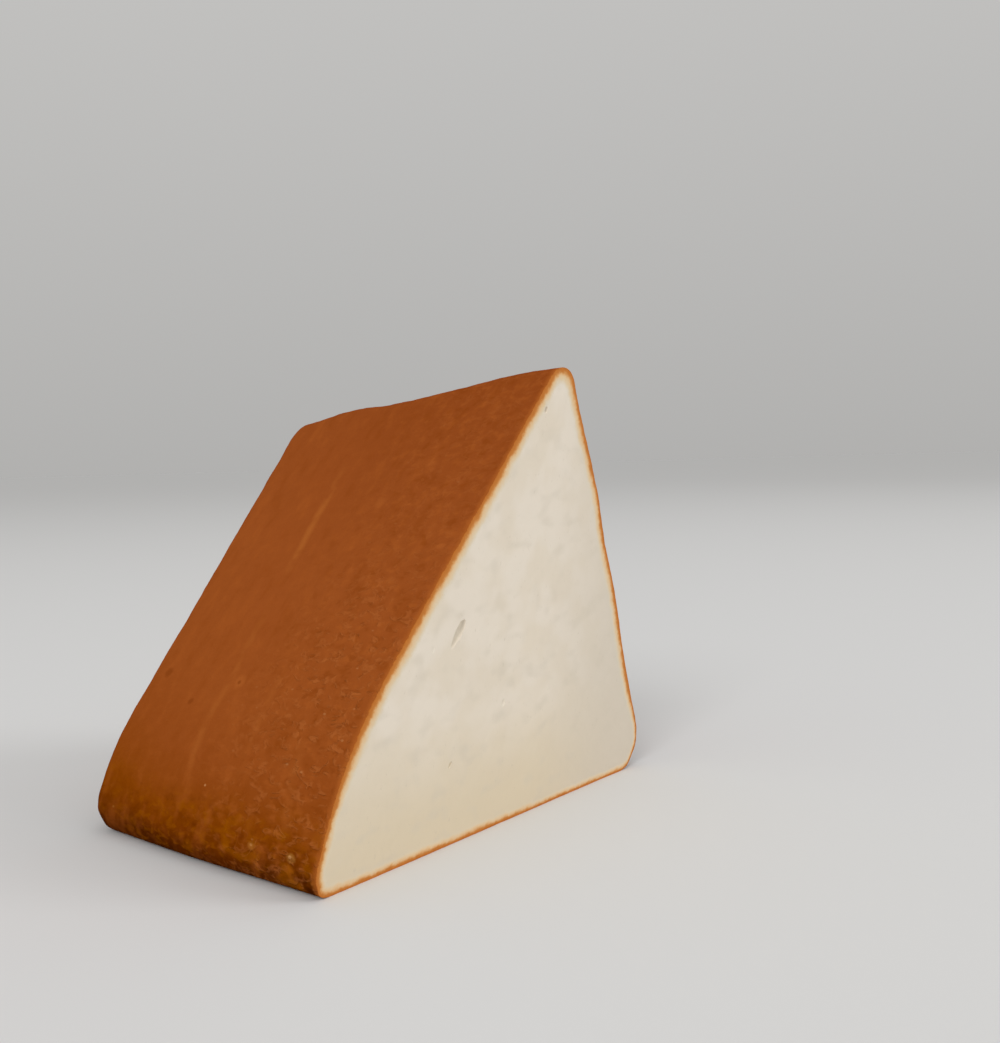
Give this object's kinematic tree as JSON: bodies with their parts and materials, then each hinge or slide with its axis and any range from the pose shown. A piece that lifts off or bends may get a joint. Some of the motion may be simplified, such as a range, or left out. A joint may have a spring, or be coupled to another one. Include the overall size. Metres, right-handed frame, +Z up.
{
  "type": "triangular bread loaf",
  "caption": "Triangular loaf of white bread standing ridge up on its flat base, cut across at one end and baked round at the other.",
  "frame": {"origin": "middle of the bounding box, on the surface that the loaf stands on", "axes": "+X across the loaf, from its bellied side to its straighter side; +Y from the cut face to the baked far end; +Z up to the ridge"},
  "size_m": [0.142, 0.1154, 0.1194],
  "materials": {
    "crust": "satin, fine leathery grain",
    "crumb": "matt, fine open pores"
  },
  "bodies": {
    "root": {"loaf": "crust"}
  },
  "joints": []
}
